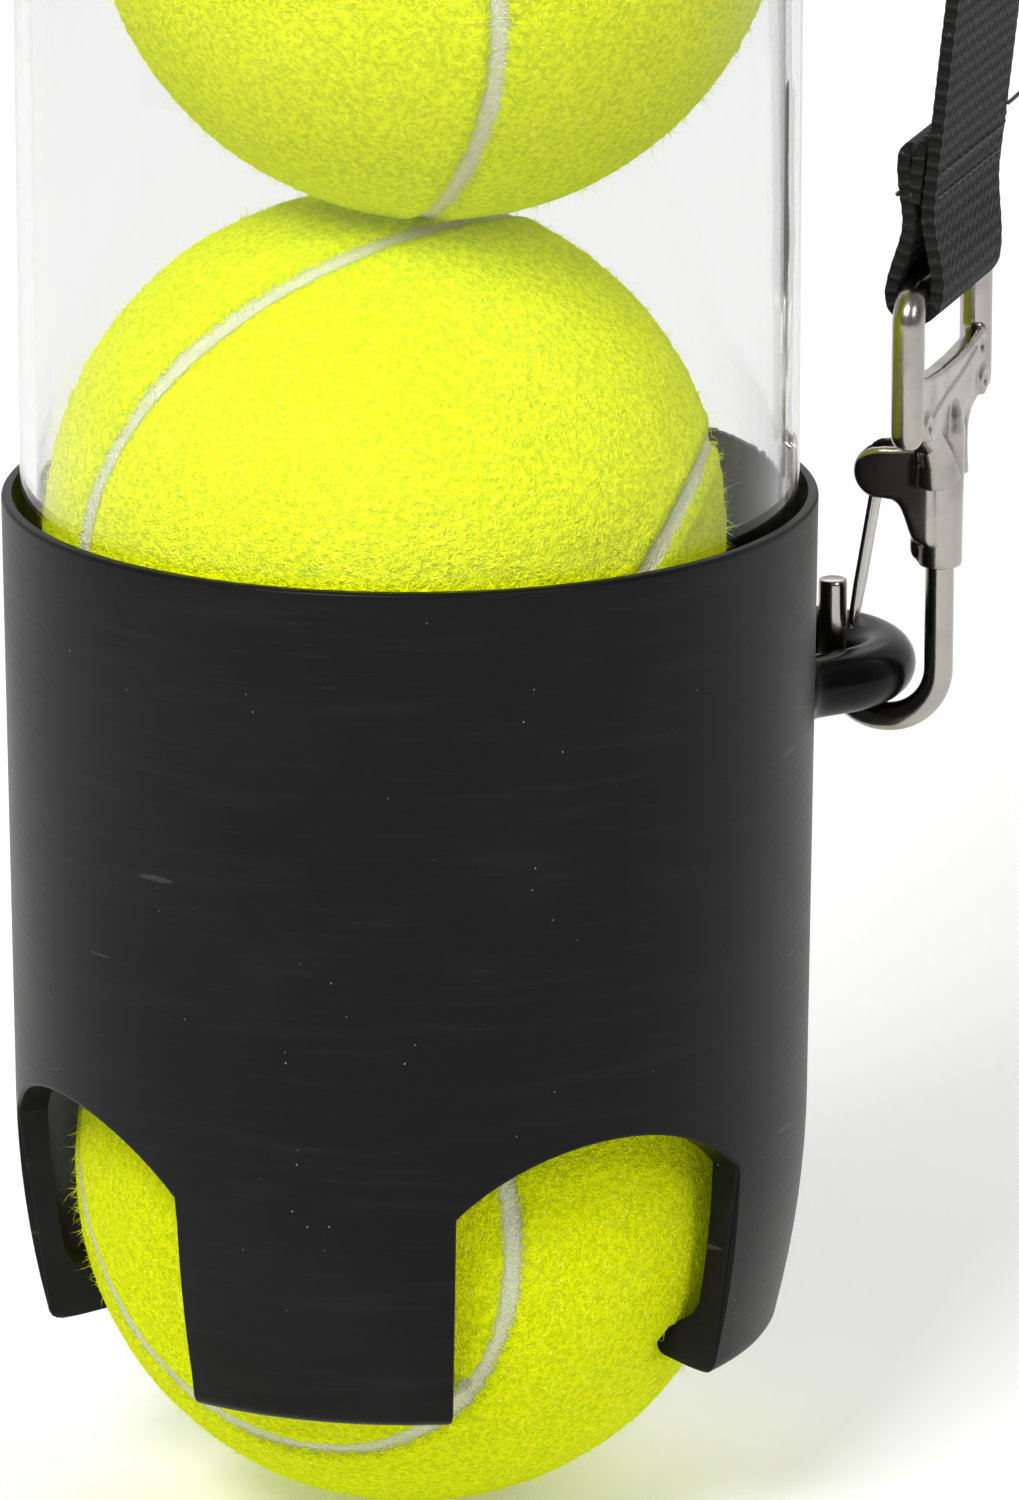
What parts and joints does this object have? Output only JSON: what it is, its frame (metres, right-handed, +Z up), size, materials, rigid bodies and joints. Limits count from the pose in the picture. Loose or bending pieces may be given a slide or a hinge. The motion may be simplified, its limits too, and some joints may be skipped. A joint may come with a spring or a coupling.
{
  "type": "tennis ball pick-up tube",
  "caption": "Clear tube that picks balls up through a springy fingered cup and carries them on a clip-on shoulder strap.",
  "frame": {"origin": "on the tube's axis where a hand grips it, 500 mm above the fingertips", "axes": "+Z up the tube to the lid, +X through both strap loops, +Y completes the right-handed frame"},
  "size_m": [0.1306, 0.0824, 1.0055],
  "materials": {
    "clear_plastic": "clear, polished",
    "black_plastic": "semi-matt moulded, faint horizontal lines",
    "yellow_felt": "fuzzy woven felt with a pale curved seam",
    "nickel_steel": "bright nickel plating",
    "black_webbing": "tightly woven flat webbing with stitches"
  },
  "bodies": {
    "tube_frame": {"clear_tube": "clear_plastic", "pickup_cup": "black_plastic", "lower_strap_loop": "black_plastic", "top_collar": "black_plastic", "upper_strap_loop": "black_plastic"},
    "finger_1": {"finger_1": "black_plastic"},
    "finger_2": {"finger_2": "black_plastic"},
    "finger_3": {"finger_3": "black_plastic"},
    "finger_4": {"finger_4": "black_plastic"},
    "ball_01": {"ball_01": "yellow_felt"},
    "ball_02": {"ball_02": "yellow_felt"},
    "ball_03": {"ball_03": "yellow_felt"},
    "ball_04": {"ball_04": "yellow_felt"},
    "ball_05": {"ball_05": "yellow_felt"},
    "ball_06": {"ball_06": "yellow_felt"},
    "ball_07": {"ball_07": "yellow_felt"},
    "ball_08": {"ball_08": "yellow_felt"},
    "ball_09": {"ball_09": "yellow_felt"},
    "ball_10": {"ball_10": "yellow_felt"},
    "ball_11": {"ball_11": "yellow_felt"},
    "ball_12": {"ball_12": "yellow_felt"},
    "lid": {"lid": "black_plastic"},
    "strap_set": {"strap_webbing": "black_webbing", "lower_hook_body": "nickel_steel", "lower_hook_wire": "nickel_steel", "upper_hook_body": "nickel_steel", "upper_hook_wire": "nickel_steel"},
    "lower_gate": {"lower_hook_gate": "nickel_steel"},
    "upper_gate": {"upper_hook_gate": "nickel_steel"}
  },
  "joints": [
    {"name": "finger_1_flex", "type": "hinge", "parent": "tube_frame", "child": "finger_1", "pos_m": [0.02777, 0.02777, -0.4782], "axis": [0.7071, -0.7071, 0], "range_deg": [0, 10], "stiffness_Nm_per_rad": 0.5, "springref_deg": -1.15},
    {"name": "finger_2_flex", "type": "hinge", "parent": "tube_frame", "child": "finger_2", "pos_m": [-0.02777, 0.02777, -0.4782], "axis": [0.7071, 0.7071, 0], "range_deg": [0, 10], "stiffness_Nm_per_rad": 0.5, "springref_deg": -1.15},
    {"name": "finger_3_flex", "type": "hinge", "parent": "tube_frame", "child": "finger_3", "pos_m": [-0.02777, -0.02777, -0.4782], "axis": [-0.7071, 0.7071, 0], "range_deg": [0, 10], "stiffness_Nm_per_rad": 0.5, "springref_deg": -1.15},
    {"name": "finger_4_flex", "type": "hinge", "parent": "tube_frame", "child": "finger_4", "pos_m": [0.02777, -0.02777, -0.4782], "axis": [-0.7071, -0.7071, 0], "range_deg": [0, 10], "stiffness_Nm_per_rad": 0.5, "springref_deg": -1.15},
    {"name": "ball_01_rise", "type": "slide", "parent": "tube_frame", "child": "ball_01", "axis": [0, 0, 1], "range_m": [0, 0.196]},
    {"name": "ball_02_rise", "type": "slide", "parent": "tube_frame", "child": "ball_02", "axis": [0, 0, 1], "range_m": [0, 0.196]},
    {"name": "ball_03_rise", "type": "slide", "parent": "tube_frame", "child": "ball_03", "axis": [0, 0, 1], "range_m": [0, 0.196]},
    {"name": "ball_04_rise", "type": "slide", "parent": "tube_frame", "child": "ball_04", "axis": [0, 0, 1], "range_m": [0, 0.196]},
    {"name": "ball_05_rise", "type": "slide", "parent": "tube_frame", "child": "ball_05", "axis": [0, 0, 1], "range_m": [0, 0.196]},
    {"name": "ball_06_rise", "type": "slide", "parent": "tube_frame", "child": "ball_06", "axis": [0, 0, 1], "range_m": [0, 0.196]},
    {"name": "ball_07_rise", "type": "slide", "parent": "tube_frame", "child": "ball_07", "axis": [0, 0, 1], "range_m": [0, 0.196]},
    {"name": "ball_08_rise", "type": "slide", "parent": "tube_frame", "child": "ball_08", "axis": [0, 0, 1], "range_m": [0, 0.196]},
    {"name": "ball_09_rise", "type": "slide", "parent": "tube_frame", "child": "ball_09", "axis": [0, 0, 1], "range_m": [0, 0.196]},
    {"name": "ball_10_rise", "type": "slide", "parent": "tube_frame", "child": "ball_10", "axis": [0, 0, 1], "range_m": [0, 0.196]},
    {"name": "ball_11_rise", "type": "slide", "parent": "tube_frame", "child": "ball_11", "axis": [0, 0, 1], "range_m": [0, 0.196]},
    {"name": "ball_12_rise", "type": "slide", "parent": "tube_frame", "child": "ball_12", "axis": [0, 0, 1], "range_m": [0, 0.196]},
    {"name": "lid_lift", "type": "slide", "parent": "tube_frame", "child": "lid", "axis": [0, 0, 1], "range_m": [0, 0.025]},
    {"name": "strap_swing", "type": "hinge", "parent": "tube_frame", "child": "strap_set", "pos_m": [0.0444, 0, -0.4393], "axis": [0, 0, 1], "range_deg": [-16.5, 113.5]},
    {"name": "lower_gate_push", "type": "hinge", "parent": "strap_set", "child": "lower_gate", "pos_m": [0.05041, -0.00679, -0.4178], "axis": [-0.749, -0.6626, 0], "range_deg": [0, 20], "stiffness_Nm_per_rad": 0.03, "springref_deg": -2.86},
    {"name": "upper_gate_push", "type": "hinge", "parent": "strap_set", "child": "upper_gate", "pos_m": [0.05041, -0.00679, 0.4275], "axis": [0.749, 0.6626, 0], "range_deg": [0, 20], "stiffness_Nm_per_rad": 0.03, "springref_deg": -2.86}
  ],
  "couplings": [
    {"joint": "finger_2_flex", "follows": "finger_1_flex", "ratio": 1},
    {"joint": "finger_3_flex", "follows": "finger_1_flex", "ratio": 1},
    {"joint": "finger_4_flex", "follows": "finger_1_flex", "ratio": 1},
    {"joint": "ball_02_rise", "follows": "ball_01_rise", "ratio": 1},
    {"joint": "ball_03_rise", "follows": "ball_01_rise", "ratio": 1},
    {"joint": "ball_04_rise", "follows": "ball_01_rise", "ratio": 1},
    {"joint": "ball_05_rise", "follows": "ball_01_rise", "ratio": 1},
    {"joint": "ball_06_rise", "follows": "ball_01_rise", "ratio": 1},
    {"joint": "ball_07_rise", "follows": "ball_01_rise", "ratio": 1},
    {"joint": "ball_08_rise", "follows": "ball_01_rise", "ratio": 1},
    {"joint": "ball_09_rise", "follows": "ball_01_rise", "ratio": 1},
    {"joint": "ball_10_rise", "follows": "ball_01_rise", "ratio": 1},
    {"joint": "ball_11_rise", "follows": "ball_01_rise", "ratio": 1},
    {"joint": "ball_12_rise", "follows": "ball_01_rise", "ratio": 1}
  ]
}
